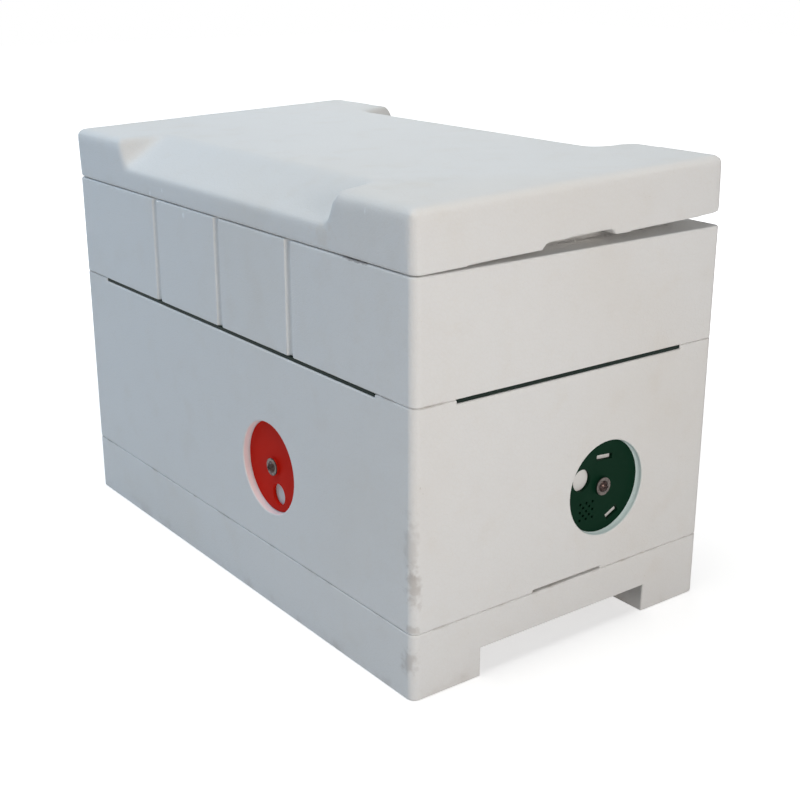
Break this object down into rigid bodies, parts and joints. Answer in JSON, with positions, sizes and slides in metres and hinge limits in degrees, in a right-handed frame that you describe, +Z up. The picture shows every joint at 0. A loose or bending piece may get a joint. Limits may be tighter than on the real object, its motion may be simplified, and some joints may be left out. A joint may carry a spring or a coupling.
{
  "type": "nuc box",
  "caption": "Stacked white foam nuc box for bees: skid floor, divided brood box with frames and turning entrance discs, slotted queen excluder, feeder box and lift-off lid with hand scoops.",
  "frame": {"origin": "middle of the footprint, on the ground", "axes": "+X across the box to the right of the green entrance, +Y along the box away from the green entrance, +Z up"},
  "size_m": [0.3012, 0.522, 0.368],
  "materials": {
    "foam": "moulded bead foam, slightly soiled",
    "red_plastic": "injection moulded, smooth",
    "green_plastic": "injection moulded, smooth",
    "steel": "bright zinc plate",
    "anchor": "moulded",
    "rail": "extruded",
    "board": "plain plywood",
    "grille": "moulded",
    "excluder": "moulded",
    "guard": "milky, moulded",
    "timber": "planed softwood",
    "wax": "pressed beeswax"
  },
  "bodies": {
    "floor": {"floor_tray": "foam", "left_vent_grille": "grille", "right_vent_grille": "grille"},
    "brood": {"brood_box": "foam", "front_left_rail": "rail", "front_right_rail": "rail", "rear_left_rail": "rail", "rear_right_rail": "rail", "red_disc_washer": "steel", "red_disc_screw": "steel", "red_disc_anchor": "anchor", "green_disc_washer": "steel", "green_disc_screw": "steel", "green_disc_anchor": "anchor"},
    "red_disc": {"red_entrance_disc": "red_plastic"},
    "green_disc": {"green_entrance_disc": "green_plastic"},
    "frames": {"frame_1_top_bar": "timber", "frame_1_front_end_bar": "timber", "frame_1_rear_end_bar": "timber", "frame_1_bottom_bar": "timber", "frame_1_foundation": "wax", "frame_2_top_bar": "timber", "frame_2_front_end_bar": "timber", "frame_2_rear_end_bar": "timber", "frame_2_bottom_bar": "timber", "frame_2_foundation": "wax", "frame_3_top_bar": "timber", "frame_3_front_end_bar": "timber", "frame_3_rear_end_bar": "timber", "frame_3_bottom_bar": "timber", "frame_3_foundation": "wax", "frame_4_top_bar": "timber", "frame_4_front_end_bar": "timber", "frame_4_rear_end_bar": "timber", "frame_4_bottom_bar": "timber", "frame_4_foundation": "wax", "frame_5_top_bar": "timber", "frame_5_front_end_bar": "timber", "frame_5_rear_end_bar": "timber", "frame_5_bottom_bar": "timber", "frame_5_foundation": "wax", "frame_6_top_bar": "timber", "frame_6_front_end_bar": "timber", "frame_6_rear_end_bar": "timber", "frame_6_bottom_bar": "timber", "frame_6_foundation": "wax"},
    "divider": {"divider_board": "board"},
    "excluder": {"queen_excluder": "excluder"},
    "feeder": {"feeder_box": "foam"},
    "guards": {"left_bee_guard": "guard", "right_bee_guard": "guard"},
    "lid": {"lid": "foam"}
  },
  "joints": [
    {"name": "brood_lift", "type": "slide", "parent": "floor", "child": "brood", "axis": [0, 0, 1], "range_m": [0, 0.12]},
    {"name": "red_disc_turn", "type": "hinge", "parent": "brood", "child": "red_disc", "pos_m": [-0.15, -0.0685, 0.1215], "axis": [-1, 0, 0], "continuous": true},
    {"name": "green_disc_turn", "type": "hinge", "parent": "brood", "child": "green_disc", "pos_m": [0.0385, -0.261, 0.1215], "axis": [0, -1, 0], "continuous": true},
    {"name": "frames_lift", "type": "slide", "parent": "brood", "child": "frames", "axis": [0, 0, 1], "range_m": [0, 0.19]},
    {"name": "divider_lift", "type": "slide", "parent": "frames", "child": "divider", "axis": [0, 0, 1], "range_m": [0, 0.18]},
    {"name": "excluder_lift", "type": "slide", "parent": "divider", "child": "excluder", "axis": [0, 0, 1], "range_m": [0, 0.06]},
    {"name": "feeder_lift", "type": "slide", "parent": "excluder", "child": "feeder", "axis": [0, 0, 1], "range_m": [0, 0.12]},
    {"name": "guards_lift", "type": "slide", "parent": "feeder", "child": "guards", "axis": [0, 0, 1], "range_m": [0, 0.08]},
    {"name": "lid_lift", "type": "slide", "parent": "guards", "child": "lid", "axis": [0, 0, 1], "range_m": [0, 0.15]}
  ]
}
